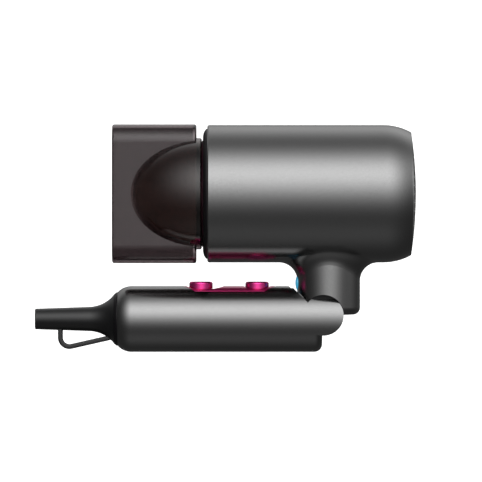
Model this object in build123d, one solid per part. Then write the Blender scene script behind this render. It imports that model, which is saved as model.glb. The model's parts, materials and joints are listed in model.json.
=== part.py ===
"""Folding hair dryer: a round head, a flat concentrator nozzle and a handle that folds under the head.

Frame: millimetres, +Z up. The dryer is folded and stands on the underside of its handle.
The origin is the middle of its bounding box in X and Y, on the surface that it stands on.
+X runs along the head's axis, from the nozzle towards the air intake.
"""

import math
import os

from build123d import *

# ---------------------------------------------------------------- driving dimensions
HALF_LENGTH = 105.2  # the cord boot's tip and the intake dome's tip are this far from the middle
HEAD_R = 38.0
HEAD_AXIS_Z = 87.4
HEAD_FRONT_X = -10.0
HEAD_WALL = 2.0
TAPER_START_X = 87.0
REAR_RIM_X = 102.6
REAR_RIM_R = 34.0

HANDLE_R = 18.2
HANDLE_AXIS_Z = HANDLE_R
HANDLE_WALL = 2.2
HANDLE_LEFT_X = -59.5
HANDLE_LEFT_R = 14.9

PIVOT_X = 53.9
PIVOT_Z = 20.3
NECK_R = 17.4
NECK_X = 57.0
NECK_BLEND_R = 10.0  # where the neck flares into the head
EAR_R = 11.1
EAR_INNER_Y = 14.4  # inner faces of the handle's two ears
CHEEK_Y = 14.0  # flats on the neck that the ears turn on
EAR_GAP = 0.3
NECK_FACE = 0.6  # the neck ends this far past the 45 degree plane through the pivot
HANDLE_FACE = 1.0  # and the folded handle starts here
TONGUE = 0.9  # a tongue on the neck's face that hides the gap
TONGUE_HALF_WIDTH = 6.0
HINGE_CORE_R = 10.8
CHEEK_THICK = 1.5
HINGE_SEAT_TOP = PIVOT_Z + 14.5
HINGE_PIN_R = 2.4
BUSH_R = 3.4
BUSH_END_Y = 16.0

NOZZLE_FRONT_X = -62.6
NOZZLE_BACK_X = -16.0
NOZZLE_HALF_WIDTH = 38.4
NOZZLE_HALF_THICK = 10.0
NOZZLE_WALL = 1.8
COLLAR_R = 30.8
COLLAR_END_X = -13.1
DOME_CENTRE_X = NOZZLE_BACK_X + 3.6
DOME_LENGTH = 42.0
DOME_R = 30.9

KNOB_R = 6.5
KNOB_TOP_Z = 38.9
SLIDER_X = -13.5
SLIDER_TRAVEL = 5.0
TEMP_X = 17.5
TEMP_TRAVEL = 1.2
FASCIA_X0, FASCIA_X1 = -22.9, 27.7
FASCIA_HALF_WIDTH = 9.6
FASCIA_BOTTOM_Z = 31.9
FASCIA_CORNER = 6.0
DISH_R = 16.85  # radius about the handle's axis of the floor of the slider's shallow dish
DISH_HALF_WIDTH = 7.4

COOL_BUTTON_R = 4.1
COOL_BUTTON_Z = 38.2
COOL_TRAVEL = 0.8

CORD_BORE_R = 3.7
BOOT_FLARE_X = -75.6  # where the boot starts to flare towards the handle
BOOT_TIP_X = -HALF_LENGTH
BOOT_END_X = -55.0  # the boot's inner end, where the cord's bore ends
LOOP_TOP = (-91.2, 13.5)  # (x, z) corners of the hanging loop's middle line
LOOP_CORNER = (-91.2, 1.7)
LOOP_ROOT = (-62.2, 8.27)
LOOP_THICK, LOOP_WIDTH = 2.7, 5.0

DUCT_R = 31.4
HEATER_X0, HEATER_X1 = -6.0, 40.0
MOTOR_X0, MOTOR_X1 = 48.0, 70.0
FAN_X0, FAN_X1 = 72.0, 86.0
BOARD_X0, BOARD_X1 = -46.0, 33.0
BOARD_Z0, BOARD_Z1 = 20.4, 22.0
BOARD_SCREWS = [(-42.0, -7.0), (-42.0, 7.0), (30.0, -7.0), (30.0, 7.0)]


# ---------------------------------------------------------------- helpers
def cyl_x(r, x0, x1, z=HEAD_AXIS_Z, y=0.0):
    return Pos((x0 + x1) / 2, y, z) * Rot(0, 90, 0) * Cylinder(r, x1 - x0)


def cyl_y(r, y0, y1, x, z):
    return Pos(x, (y0 + y1) / 2, z) * Rot(90, 0, 0) * Cylinder(r, y1 - y0)


def cyl_z(r, z0, z1, x, y=0.0):
    return Pos(x, y, (z0 + z1) / 2) * Cylinder(r, z1 - z0)


def tube_x(outer, inner, x0, x1, z=HEAD_AXIS_Z):
    return cyl_x(outer, x0, x1, z) - cyl_x(inner, x0 - 1, x1 + 1, z)


def block(x0, x1, y0, y1, z0, z1):
    return Pos((x0 + x1) / 2, (y0 + y1) / 2, (z0 + z1) / 2) * Box(x1 - x0, y1 - y0, z1 - z0)


def spin(edges, axis_z):
    """Turns a closed outline in the XZ plane about a line along X at height axis_z."""
    face = make_face(Wire(edges))
    return revolve(face, axis=Axis((0, 0, axis_z), (1, 0, 0)))


def chain(points, axis_z):
    """Straight edges through (x, radius) points, measured from a line along X at height axis_z."""
    at = [(x, 0, axis_z + r) for x, r in points]
    return [Line(a, b) for a, b in zip(at, at[1:])]


def arc(a, b, c, axis_z):
    """An arc through three (x, radius) points."""
    return ThreePointArc(*[(x, 0, axis_z + r) for x, r in (a, b, c)])


def dome_arc(rim, tip_x, axis_z):
    """A shallow dome's outline, from its (x, radius) rim to its tip on the axis."""
    rim_x, r = rim
    rise = tip_x - rim_x
    sphere_r = (r * r + rise * rise) / (2 * abs(rise))
    drop = sphere_r - math.sqrt(sphere_r**2 - (r / 2) ** 2)
    middle = (tip_x - math.copysign(drop, rise), r / 2)
    return arc(rim, middle, (tip_x, 0), axis_z)


def plate_xy(outline, z0, z1):
    face = make_face(Polyline(*[(x, y, z0) for x, y in outline], close=True))
    return extrude(face, amount=z1 - z0, dir=(0, 0, 1))


def ring_of(shape, count, axis_z=HEAD_AXIS_Z, start=0.0):
    """Copies of a shape around the head's axis."""
    about = Axis((0, 0, axis_z), (1, 0, 0))
    return [shape.rotate(about, start + i * 360 / count) for i in range(count)]


def united(shapes):
    first, *rest = list(shapes)
    for s in rest:
        first = first + s
    return first


def beyond_diagonal(offset):
    """Everything below and in front of the 45 degree plane through the pivot, moved out by offset.

    The neck ends at this plane and the folded handle starts at it.
    """
    size = 200
    slab = Pos(-size / 2 - offset, 0, 0) * Box(size, size, size)
    return Pos(PIVOT_X, 0, PIVOT_Z) * Rot(0, -45, 0) * slab


def above_diagonal(offset):
    """The other side of the same plane."""
    size = 200
    slab = Pos(size / 2 - offset, 0, 0) * Box(size, size, size)
    return Pos(PIVOT_X, 0, PIVOT_Z) * Rot(0, -45, 0) * slab


def past_neck_face():
    """What is cut off the neck: all past the plane, but for a tongue in the middle."""
    w = TONGUE_HALF_WIDTH
    tongue = block(-200, 200, -w, w, -200, 200)
    keep = tongue & above_diagonal(NECK_FACE + TONGUE) & beyond_diagonal(NECK_FACE)
    return beyond_diagonal(NECK_FACE) - keep


def past_handle_face():
    """What is cut off the folded handle, with a groove that the tongue sits in."""
    w = TONGUE_HALF_WIDTH + 0.4
    groove = block(-200, 200, -w, w, -200, 200) & above_diagonal(HANDLE_FACE + TONGUE)
    return above_diagonal(HANDLE_FACE) + groove


def save(node, *shapes):
    solids = [s for shape in shapes for s in shape.solids()]
    whole = solids[0] if len(solids) == 1 else Compound(children=solids)
    export_step(whole, f"parts/{node}.step")


# ---------------------------------------------------------------- head: casing
def head_outer():
    z = HEAD_AXIS_Z
    lip = 0.7
    taper_mid = (TAPER_START_X + 8.3, HEAD_R - 1.05)
    edges = chain(
        [
            (REAR_RIM_X, 0),
            (HEAD_FRONT_X, 0),
            (HEAD_FRONT_X, HEAD_R - lip),
            (HEAD_FRONT_X + lip, HEAD_R),
            (TAPER_START_X, HEAD_R),
        ],
        z,
    )
    edges.append(arc((TAPER_START_X, HEAD_R), taper_mid, (REAR_RIM_X, REAR_RIM_R), z))
    edges += chain([(REAR_RIM_X, REAR_RIM_R), (REAR_RIM_X, 0)], z)
    return spin(edges, z)


def barrel_shell():
    neck_foot_r = 4.0
    neck = cyl_z(NECK_R, PIVOT_Z + EAR_GAP, HEAD_AXIS_Z, NECK_X)
    foot = neck.edges().filter_by(GeomType.CIRCLE).sort_by(Axis.Z)[0]
    neck = fillet(foot, neck_foot_r)
    body = head_outer() + neck
    join = body.edges().filter_by(GeomType.BSPLINE)
    body = fillet(join, NECK_BLEND_R)
    bore_r = HEAD_R - HEAD_WALL
    rear_lip_x = REAR_RIM_X - 5.0
    body -= cyl_x(bore_r, HEAD_FRONT_X - 1, TAPER_START_X)
    body -= cyl_x(REAR_RIM_R - HEAD_WALL, TAPER_START_X - 1, REAR_RIM_X + 1)
    body -= cyl_x(REAR_RIM_R - 0.8, TAPER_START_X - 1, rear_lip_x)
    body -= cyl_z(NECK_R - 2.6, HINGE_SEAT_TOP, HEAD_AXIS_Z, NECK_X)
    body -= hinge_seat(0.05)
    for side in (-1, 1):
        y0, y1 = sorted((side * (CHEEK_Y - CHEEK_THICK - 0.05), side * (NECK_R + 1)))
        body -= cyl_y(EAR_R + EAR_GAP, y0, y1, PIVOT_X, PIVOT_Z)
    body -= past_neck_face() & block(0, 100, -40, 40, 0, HEAD_AXIS_Z - HEAD_R - 5)
    body -= cyl_x(COOL_BUTTON_R + 0.15, NECK_X - NECK_R - 3, NECK_X, COOL_BUTTON_Z)
    return body


def hinge_seat(gap):
    """The flat-sided hole up the neck that the hinge block is pushed into."""
    front, back = PIVOT_X - HINGE_CORE_R, PIVOT_X + HINGE_CORE_R + 3
    half = CHEEK_Y + gap
    slab = block(front - gap, back + gap, -half, half, PIVOT_Z - 20, HINGE_SEAT_TOP)
    return slab & cyl_z(NECK_R - 2.2 + gap, PIVOT_Z - 20, HINGE_SEAT_TOP, NECK_X)


def front_bezel():
    z = HEAD_AXIS_Z
    front = HEAD_FRONT_X - 2.4
    seat_r = HEAD_R - HEAD_WALL - 0.05
    inner_r = 29.7
    edges = chain([(front, 31.4), (front, inner_r), (-3.0, inner_r), (-3.0, seat_r)], z)
    edges += chain([(-3.0, seat_r), (HEAD_FRONT_X - 0.6, seat_r)], z)
    edges.append(arc((HEAD_FRONT_X - 0.6, seat_r), (-11.9, 34.0), (front, 31.4), z))
    bezel = spin(edges, z)
    for m in front_magnets():
        bezel -= m
    return bezel


def front_magnets():
    one = cyl_x(1.5, -7.0, -3.0, HEAD_AXIS_Z + 32.6)
    return ring_of(one, 8, start=22.5)


def outlet_ring():
    z = HEAD_AXIS_Z
    front = HEAD_FRONT_X - 3.0
    edges = chain([(front, 29.0), (front, 27.6), (-9.2, 26.6), (-3.0, 26.6), (-3.0, 29.65)], z)
    edges += chain([(-3.0, 29.65), (front + 0.6, 29.65)], z)
    edges += chain([(front + 0.6, 29.65), (front, 29.0)], z)
    return spin(edges, z)


def outlet_grille():
    x0, x1 = -8.6, -6.4
    rings = [tube_x(r + 0.6, r - 0.6, x0, x1) for r in (10.0, 15.3, 20.6)]
    rim = tube_x(26.55, 24.9, x0, x1 + 1.0)
    hub = cyl_x(4.6, x0 - 0.6, x1)
    spoke = block(x0 + 0.3, x1 - 0.3, -0.55, 0.55, HEAD_AXIS_Z + 4.0, HEAD_AXIS_Z + 25.4)
    return united([hub, rim, *rings, *ring_of(spoke, 8)])


def air_duct():
    duct = tube_x(DUCT_R, DUCT_R - 1.2, -2.8, 92.0)
    stop = tube_x(HEAD_R - HEAD_WALL - 0.1, DUCT_R - 0.5, 60.0, 62.0)
    neck_way = cyl_z(9.0, HEAD_AXIS_Z - 40, HEAD_AXIS_Z - 20, NECK_X)
    return duct + stop - neck_way


def heat_shield():
    tube = tube_x(27.9, 27.2, HEATER_X0 + 4, HEATER_X1)
    spacer = block(0, 6, -1.5, 1.5, HEAD_AXIS_Z + 27.5, HEAD_AXIS_Z + 30.1)
    return united([tube, *ring_of(spacer, 3, start=30)])


def mica_frame():
    half, thick, bore = 20.0, 0.6, 1.6
    x0, x1 = HEATER_X0 + 4, HEATER_X1
    z = HEAD_AXIS_Z
    upright = block(x0, x1, -thick, thick, z - half, z + half)
    level = block(x0, x1, -half, half, z - thick, z + thick)
    leg = block(x1 - 6, x1, -thick, thick, z + half - 1, z + 27.15)
    cross = united([upright, level, *ring_of(leg, 4)])
    return cross - cyl_x(bore, x0 - 1, x1 + 1)


def heating_coil():
    ring_r, wire_r, turns, pitch = 20.8, 0.7, 9, 3.6
    first = HEATER_X0 + 7
    turn = Rot(0, 90, 0) * Torus(ring_r, wire_r)
    return [Pos(first + i * pitch, 0, HEAD_AXIS_Z) * turn for i in range(turns)]


def thermal_cutout():
    x, y, z = 30.0, 8.0, HEAD_AXIS_Z + 0.6
    base = block(x - 5, x + 5, y - 4, y + 4, z, z + 2.2)
    can = cyl_z(3.4, z + 2.2, z + 5.0, x, y)
    return base + can


def ion_emitter():
    z = HEAD_AXIS_Z + 22.8
    holder = cyl_x(1.7, -6.2, 0.0, z)
    needle = cyl_x(0.4, -8.0, -6.2, z)
    return ring_of(holder + needle, 1, start=22.5)[0]


# ---------------------------------------------------------------- head: motor and fan
def motor_housing():
    z = HEAD_AXIS_Z
    core = tube_x(13.6, 12.0, MOTOR_X0, MOTOR_X1)
    nose = cyl_x(13.6, MOTOR_X0 - 1.6, MOTOR_X0) - cyl_x(4.02, MOTOR_X0 - 3, MOTOR_X0 + 1)
    ring = tube_x(25.0, 23.6, MOTOR_X0 + 2, FAN_X1 + 2)
    vane = block(MOTOR_X0 + 4, MOTOR_X1 - 3, -0.7, 0.7, z + 13.0, z + 24.2)
    vane = vane.rotate(Axis((59, 0, z), (0, 0, 1)), 14)
    return united([core, nose, ring, *ring_of(vane, 9)])


def motor_stator():
    x0, x1 = MOTOR_X0 + 5, MOTOR_X1 - 4
    yoke = tube_x(11.95, 9.6, x0, x1)
    tooth = block(x0, x1, -1.6, 1.6, HEAD_AXIS_Z + 6.6, HEAD_AXIS_Z + 10.0)
    shoe = block(x0, x1, -2.6, 2.6, HEAD_AXIS_Z + 6.0, HEAD_AXIS_Z + 7.0)
    return united([yoke, *ring_of(tooth + shoe, 6)])


def stator_coils():
    x0, x1 = MOTOR_X0 + 3.6, MOTOR_X1 - 2.6
    z0, z1 = HEAD_AXIS_Z + 7.1, HEAD_AXIS_Z + 9.2
    wound = block(x0, x1, -2.5, 2.5, z0, z1)
    slot = block(x0 + 1.39, x1 - 1.39, -1.61, 1.61, z0 - 1, z1 + 1)
    return ring_of(wound - slot, 6)


def motor_bearings():
    x = MOTOR_X0 - 1.6
    return [tube_x(4.0, 1.53, x, x + 2.6), tube_x(4.0, 1.53, MOTOR_X1 - 2.4, MOTOR_X1)]


def motor_end_plate():
    x0, x1 = MOTOR_X1 - 2.4, MOTOR_X1
    plate = tube_x(11.95, 4.02, x0, x1)
    holes = ring_of(cyl_x(1.6, x0 - 1, x1 + 1, HEAD_AXIS_Z + 8.0), 6)
    for hole in holes:
        plate -= hole
    return plate


def motor_mount():
    x0, x1 = MOTOR_X0 + 4, MOTOR_X1 - 2
    ring = tube_x(27.2, 25.02, x0, x1)
    lug = block(x0 + 2, x1 - 2, -3.0, 3.0, HEAD_AXIS_Z + 26.5, HEAD_AXIS_Z + 29.9)
    return united([ring, *ring_of(lug, 6)])


def motor_shaft():
    return cyl_x(1.5, MOTOR_X0 - 1.2, FAN_X1 - 1.0)


def rotor_magnet():
    return tube_x(5.4, 1.5, MOTOR_X0 + 5, MOTOR_X1 - 4)


def impeller():
    z = HEAD_AXIS_Z
    hub_r, tip_r = 13.0, 23.0
    edges = chain([(FAN_X1, 1.5), (FAN_X0, 1.5), (FAN_X0, hub_r), (FAN_X0 + 7, hub_r - 1)], z)
    edges.append(arc((FAN_X0 + 7, hub_r - 1), (FAN_X1 - 2.4, 8.6), (FAN_X1, 3.0), z))
    edges += chain([(FAN_X1, 3.0), (FAN_X1, 1.5)], z)
    blade = block(FAN_X0 - 4, FAN_X1 + 4, -0.5, 0.5, z + 8.0, z + tip_r + 2)
    middle = (FAN_X0 + FAN_X1) / 2
    blade = blade.rotate(Axis((middle, 0, z), (0, 0, 1)), 42)
    keep = tube_x(tip_r, 7.5, FAN_X0 + 0.8, FAN_X0 + 9.5)
    blades = [b & keep for b in ring_of(blade, 11)]
    return united([spin(edges, z), *blades])


# ---------------------------------------------------------------- head: intake end
def intake_frame():
    x0, x1 = 91.0, 94.0
    rim = tube_x(REAR_RIM_R - 2.05, 27.5, x0, x1 + 1.5)
    spoke = block(x0, x1, -1.0, 1.0, HEAD_AXIS_Z + 7.0, HEAD_AXIS_Z + 28.0)
    hub = cyl_x(8.0, x0, x1)
    frame = united([rim, hub, *ring_of(spoke, 6)])
    frame -= cyl_x(DUCT_R + 0.05, 80.0, 92.0) - cyl_x(27.4, 80.0, 92.0)
    for m in [*rear_magnets(), *intake_screw_shanks()]:
        frame -= m
    return frame


def rear_magnets():
    return ring_of(cyl_x(1.2, 93.5, 95.5, HEAD_AXIS_Z + 29.9), 4, start=45)


def intake_screw_shanks():
    return ring_of(cyl_x(0.9, 90.0, 95.6, HEAD_AXIS_Z + 29.9), 4, start=0)


def intake_screws():
    head = cyl_x(1.6, 95.5, 96.5, HEAD_AXIS_Z + 29.9)
    shank = cyl_x(0.9, 92.1, 95.5, HEAD_AXIS_Z + 29.9)
    slot = block(96.1, 97.0, -0.25, 0.25, HEAD_AXIS_Z + 28.8, HEAD_AXIS_Z + 31.0)
    return ring_of(head + shank - slot, 4, start=0)


def rear_cover():
    """The domed, perforated intake cap, which pulls straight off."""
    z = HEAD_AXIS_Z
    r, rim_x, wall = REAR_RIM_R - HEAD_WALL - 0.2, REAR_RIM_X + 0.3, 1.4
    outer = dome_arc((rim_x, r), HALF_LENGTH, z)
    inner = dome_arc((rim_x - wall, r - 1.6), HALF_LENGTH - wall, z)
    edges = chain([(rim_x - 5.4, r), (rim_x, r)], z) + [outer]
    edges += chain([(HALF_LENGTH, 0), (HALF_LENGTH - wall, 0)], z) + [inner]
    edges += chain([(rim_x - wall, r - 1.6), (rim_x - 5.4, r - 1.6), (rim_x - 5.4, r)], z)
    cap = spin(edges, z)
    for ring_number in range(1, 7):
        ring_r = 4.5 * ring_number
        hole = cyl_x(1.15, 95, 110, z + ring_r)
        for h in ring_of(hole, 6 * ring_number, start=15 * ring_number):
            cap -= h
    return cap - cyl_x(1.15, 95, 110)


def filter_mesh():
    """A disc of fine metal gauze behind the cap, in a stiff rim."""
    rim = tube_x(30.0, 27.8, 99.4, 101.0)
    disc = cyl_x(28.0, 99.8, 100.2)
    return rim + disc


def cover_latch_ring():
    """A thin steel ring in the cap, which the magnets in the frame pull on."""
    return tube_x(30.0, 27.4, 97.6, 98.4)


# ---------------------------------------------------------------- neck: hinge block and cool-shot button
def hinge_block():
    """The black core of the hinge: a square plug up the neck and a round knuckle about the pivot."""
    plug = hinge_seat(0.0) & block(0, 100, -20, 20, PIVOT_Z + EAR_GAP, HINGE_SEAT_TOP)
    for side in (-1, 1):
        y0, y1 = sorted((side * (CHEEK_Y - CHEEK_THICK), side * CHEEK_Y))
        cheek = cyl_y(EAR_R + EAR_GAP - 0.05, y0, y1, PIVOT_X, PIVOT_Z)
        plug += cheek & cyl_z(NECK_R - 0.4, PIVOT_Z + EAR_GAP, HINGE_SEAT_TOP, NECK_X)
    plug -= past_neck_face()
    half = CHEEK_Y - 0.1
    knuckle = cyl_y(HINGE_CORE_R, -half, half, PIVOT_X, PIVOT_Z)
    knuckle &= block(0, 100, -20, 20, 0, PIVOT_Z + EAR_GAP)
    core = plug + knuckle
    core -= cyl_y(HINGE_PIN_R, -20, 20, PIVOT_X, PIVOT_Z)
    core -= wire_way()
    for s in hinge_screw_shanks():
        core -= s
    core -= detent_pocket()
    core -= cyl_x(COOL_BUTTON_R + 3, 30, PIVOT_X - 4, COOL_BUTTON_Z)
    return core


def wire_way():
    """A slot through the hinge block for the leads, behind the pin."""
    up = block(PIVOT_X + 3.6, PIVOT_X + 8.2, -5, 5, PIVOT_Z + 2, HINGE_SEAT_TOP + 1)
    down = block(PIVOT_X - 12, PIVOT_X + 8.2, -5, 5, PIVOT_Z - 8.0, PIVOT_Z - 3.6)
    link = block(PIVOT_X + 3.6, PIVOT_X + 8.2, -5, 5, PIVOT_Z - 8.0, PIVOT_Z + 3)
    return up + down + link


def hinge_screw_shanks():
    return [cyl_z(1.1, PIVOT_Z + 6, HINGE_SEAT_TOP + 1, PIVOT_X - 1, y) for y in (-9.5, 9.5)]


def hinge_screws():
    """Two screws that come down the neck into the hinge block."""
    made = []
    for y in (-9.5, 9.5):
        x = PIVOT_X - 1
        head = cyl_z(2.1, HINGE_SEAT_TOP + 1.6, HINGE_SEAT_TOP + 3.2, x, y)
        shank = cyl_z(1.1, PIVOT_Z + 6, HINGE_SEAT_TOP + 1.6, x, y)
        slot = block(x - 1.6, x + 1.6, y - 0.3, y + 0.3, HINGE_SEAT_TOP + 2.6, HINGE_SEAT_TOP + 4)
        made.append(head + shank - slot)
    return made


def clamp_plate():
    """The plate across the neck that the two screws pull the hinge block against."""
    z0, z1 = HINGE_SEAT_TOP + 0.05, HINGE_SEAT_TOP + 1.6
    plate = cyl_z(NECK_R - 2.7, z0, z1, NECK_X)
    plate -= block(PIVOT_X + 3.6, PIVOT_X + 9.0, -5.4, 5.4, z0 - 1, z1 + 1)
    plate -= block(PIVOT_X - 30, PIVOT_X - 5.0, -7, 7, z0 - 1, z1 + 1)
    for s in hinge_screw_shanks():
        plate -= Pos(0, 0, 2) * s
    return plate


def hinge_pin():
    return cyl_y(HINGE_PIN_R, -BUSH_END_Y + 0.1, BUSH_END_Y - 0.1, PIVOT_X, PIVOT_Z)


def detent_pocket():
    return cyl_y(1.6, 6.0, 20.0, PIVOT_X + 4.0, PIVOT_Z + 6.4)


def detent_ball():
    return Pos(PIVOT_X + 4.0, CHEEK_Y - 1.2, PIVOT_Z + 6.4) * Sphere(1.5)


def detent_spring():
    x, z = PIVOT_X + 4.0, PIVOT_Z + 6.4
    turn = Rot(90, 0, 0) * Torus(1.15, 0.22)
    return [Pos(x, 6.4 + 0.75 * i, z) * turn for i in range(7)]


def cool_button():
    """A small round push button with a domed face, on the front of the neck."""
    face_x = NECK_X - NECK_R - 1.0
    z = COOL_BUTTON_Z
    rim_x = face_x + 0.9
    back_x = face_x + 3.2
    edges = chain([(back_x, 0), (back_x, COOL_BUTTON_R), (rim_x, COOL_BUTTON_R)], z)
    edges.append(dome_arc((rim_x, COOL_BUTTON_R), face_x, z))
    edges += chain([(face_x, 0), (back_x, 0)], z)
    stem = cyl_x(1.2, back_x, back_x + 1.6, z)
    return spin(edges, z) + stem


def cool_switch():
    """The little switch behind the cool-shot button, on its own board."""
    x = NECK_X - NECK_R - 1.0 + 3.2 + 1.6 + COOL_TRAVEL + 0.1
    z = COOL_BUTTON_Z
    board = block(x + 3.2, x + 4.2, -5.5, 5.5, z - 3.0, z + 6.5)
    can = block(x + 0.8, x + 3.2, -2.6, 2.6, z - 2.6, z + 2.6)
    plunger = cyl_x(1.0, x, x + 0.8, z)
    return united([board, can, plunger])


# ---------------------------------------------------------------- handle
def handle_outer():
    """A round bar that ends in two ears, one each side of the hinge's knuckle."""
    z = HANDLE_AXIS_Z
    tip_x = PIVOT_X + 14
    full_x = HANDLE_LEFT_X + 7.6
    rise = HANDLE_R - HANDLE_LEFT_R
    bend = ((full_x - HANDLE_LEFT_X) ** 2 + rise**2) / (2 * rise)
    shoulder_x = HANDLE_LEFT_X + 3.3
    shoulder = (shoulder_x, HANDLE_R - bend + math.sqrt(bend**2 - (full_x - shoulder_x) ** 2))
    edges = chain([(tip_x, 0), (HANDLE_LEFT_X, 0), (HANDLE_LEFT_X, HANDLE_LEFT_R)], z)
    edges.append(arc((HANDLE_LEFT_X, HANDLE_LEFT_R), shoulder, (full_x, HANDLE_R), z))
    edges += chain([(full_x, HANDLE_R), (tip_x, HANDLE_R), (tip_x, 0)], z)
    rod = spin(edges, z)
    for tool in (handle_end_cup(), past_handle_face()):
        for side in (-1, 1):
            y0, y1 = sorted((side * EAR_INNER_Y, side * (HANDLE_R + 6)))
            tool -= cyl_y(EAR_R, y0, y1, PIVOT_X, PIVOT_Z)
        rod -= tool
    return rod - cyl_y(HINGE_CORE_R + 0.5, -EAR_INNER_Y, EAR_INNER_Y, PIVOT_X, PIVOT_Z)


def handle_end_cup():
    """What is cut off past the handle's rounded end."""
    end_x, round_r, far = PIVOT_X - 0.5, 4.2, PIVOT_X + 25
    bend = round_r * (1 - math.sqrt(0.5))
    start = (end_x - round_r, HANDLE_R)
    middle = (end_x - bend, HANDLE_R - bend)
    finish = (end_x, HANDLE_R - round_r)
    edges = [arc(start, middle, finish, HANDLE_AXIS_Z)]
    edges += chain([finish, (end_x, 0), (far, 0), (far, HANDLE_R + 4)], HANDLE_AXIS_Z)
    edges += chain([(far, HANDLE_R + 4), (start[0], HANDLE_R + 4), start], HANDLE_AXIS_Z)
    return spin(edges, HANDLE_AXIS_Z)


def handle_cavity():
    """The hollow of the handle, with its end wall wrapped round the hinge's knuckle."""
    z = HANDLE_AXIS_Z
    bore = HANDLE_R - HANDLE_WALL
    main = cyl_x(bore, HANDLE_LEFT_X + 8, 34.0, z)
    nose = cyl_x(12.6, HANDLE_LEFT_X + 2.4, HANDLE_LEFT_X + 9, z)
    tail = cyl_x(bore, 33.0, PIVOT_X - 2.6, z) & block(0, 60, -11.5, 11.5, 0, 40)
    tail = tail & beyond_diagonal(3.4)
    tail -= cyl_y(HINGE_CORE_R + 2.6, -20, 20, PIVOT_X, PIVOT_Z)
    cord_hole = cyl_x(8.0, HANDLE_LEFT_X - 1, HANDLE_LEFT_X + 3, z)
    leads = block(PIVOT_X - 16, PIVOT_X - 6, -5, 5, PIVOT_Z - 8.0, PIVOT_Z - 3.6)
    return united([main, nose, tail, cord_hole, leads])


def fascia_outline(grow):
    x0, x1, w = FASCIA_X0 - grow, FASCIA_X1 + grow, FASCIA_HALF_WIDTH + grow
    c, tip = FASCIA_CORNER, 3.0 + grow
    front = [(x0, -tip), (x0, tip), (x0 + c, w)]
    back = [(x1 - c, w), (x1, tip), (x1, -tip)]
    return [*front, *back, (x1 - c, -w), (x0 + c, -w)]


def handle_shell():
    shell = handle_outer() - handle_cavity()
    shell -= plate_xy(fascia_outline(0.08), FASCIA_BOTTOM_Z - 0.05, 40)
    for side in (-1, 1):
        y0, y1 = sorted((side * (EAR_INNER_Y - 1), side * BUSH_END_Y))
        shell -= cyl_y(BUSH_R, y0, y1, PIVOT_X, PIVOT_Z)
    for dimple in ((4.0, 6.4), (6.4, -4.0)):
        shell -= Pos(PIVOT_X + dimple[0], EAR_INNER_Y + 0.9, PIVOT_Z + dimple[1]) * Sphere(1.5)
    return shell


def handle_half(shell, side):
    y0, y1 = sorted((0, side * 30))
    return shell & block(-120, 120, y0, y1, -20, 60)


def hinge_bushes():
    made = []
    for side in (-1, 1):
        y0, y1 = sorted((side * EAR_INNER_Y, side * BUSH_END_Y))
        ring = cyl_y(BUSH_R, y0, y1, PIVOT_X, PIVOT_Z)
        made.append(ring - cyl_y(HINGE_PIN_R + 0.05, -20, 20, PIVOT_X, PIVOT_Z))
    return made


def fascia_plate():
    """The coloured plate let into the handle, with a dish for the slider and a hole for each control."""
    slab = plate_xy(fascia_outline(0.0), FASCIA_BOTTOM_Z, 40)
    skin = cyl_x(HANDLE_R + 0.02, FASCIA_X0 - 1, FASCIA_X1 + 1, HANDLE_AXIS_Z)
    plate = slab & skin
    plate = fillet(plate.edges().filter_by(Axis.Z), 1.5)
    face = plate.faces().filter_by(GeomType.CYLINDER).sort_by(SortBy.AREA)[-1]
    plate = chamfer(face.edges(), 0.3)
    half = DISH_HALF_WIDTH
    x0 = SLIDER_X - 0.9
    x1 = x0 + SLIDER_TRAVEL + 1.2
    track = cyl_z(half, 25, 45, x0) + cyl_z(half, 25, 45, x1) + block(x0, x1, -half, half, 25, 45)
    plate -= track - cyl_x(DISH_R, FASCIA_X0 - 5, FASCIA_X1 + 5, HANDLE_AXIS_Z)
    plate -= block(SLIDER_X - 2.6, SLIDER_X + SLIDER_TRAVEL + 2.6, -1.7, 1.7, 25, 45)
    plate -= cyl_z(KNOB_R + 0.15, 25, 45, TEMP_X)
    return plate - Pos(TEMP_X, 0, 35.4) * Cone(KNOB_R + 0.15, KNOB_R + 1.75, 1.6)


def knob(x, foot_z):
    """A round button top with a softened upper edge and a faintly hollow face."""
    body = cyl_z(KNOB_R, foot_z, KNOB_TOP_Z, x)
    top = body.edges().filter_by(GeomType.CIRCLE).sort_by(Axis.Z)[-1]
    body = fillet(top, 1.2)
    return body - Pos(x, 0, KNOB_TOP_Z + 39.7) * Sphere(40)


def power_slider():
    """The slider's knob, hollowed underneath to follow the floor of its dish."""
    foot_r = DISH_R + 0.15
    stem = block(SLIDER_X - 2.2, SLIDER_X + 2.2, -1.4, 1.4, 29.6, HANDLE_AXIS_Z + foot_r + 0.5)
    saddle = cyl_x(foot_r, SLIDER_X - 10, SLIDER_X + 10, HANDLE_AXIS_Z)
    return knob(SLIDER_X, HANDLE_AXIS_Z + 15.5) - saddle + stem


def temp_button():
    skirt_z = 31.2
    flange = cyl_z(KNOB_R + 1.2, skirt_z - 1.2, skirt_z, TEMP_X)
    stem = cyl_z(1.6, 27.8, skirt_z - 1.0, TEMP_X)
    return knob(TEMP_X, skirt_z) + flange + stem


def temp_spring():
    """The button's return spring, at the length it has with the button pressed."""
    wire, r, z0 = 0.35, 3.6, BOARD_Z1 + 1.9
    return [Pos(TEMP_X, 0, z0 + 0.88 * i) * Torus(r, wire) for i in range(6)]


def control_board():
    return block(BOARD_X0, BOARD_X1, -9.0, 9.0, BOARD_Z0, BOARD_Z1) - united(board_screw_holes())


def board_screw_holes():
    return [cyl_z(1.1, 10, 30, x, y) for x, y in BOARD_SCREWS]


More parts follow.
